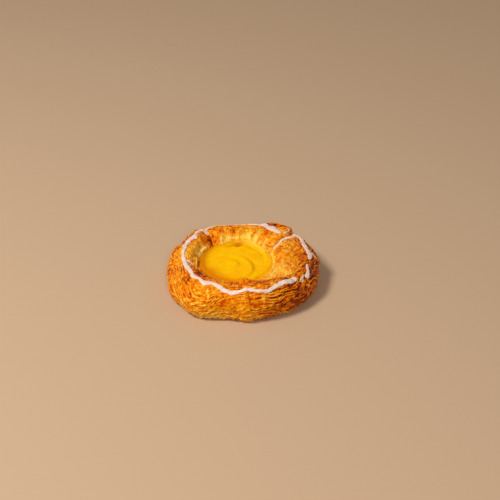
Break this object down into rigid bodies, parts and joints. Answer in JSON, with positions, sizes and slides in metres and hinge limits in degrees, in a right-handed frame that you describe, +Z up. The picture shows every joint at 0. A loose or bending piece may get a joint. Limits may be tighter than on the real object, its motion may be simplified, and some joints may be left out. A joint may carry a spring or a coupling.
{
  "type": "custard danish",
  "caption": "Round danish pastry of laminated dough, its corners folded in about a well of piped yellow custard, with white icing drizzled round the crest.",
  "frame": {"origin": "under the middle of the outline, on the flat underside", "axes": "+Z up; the front that the picture shows faces -Y, and +X is to its right"},
  "size_m": [0.1161, 0.1117, 0.0268],
  "materials": {
    "baked_dough": "golden brown baked laminated dough with a light egg glaze and white icing strands",
    "custard": "smooth set custard, satin"
  },
  "bodies": {
    "root": {"pastry": "baked_dough", "custard": "custard"}
  },
  "joints": []
}
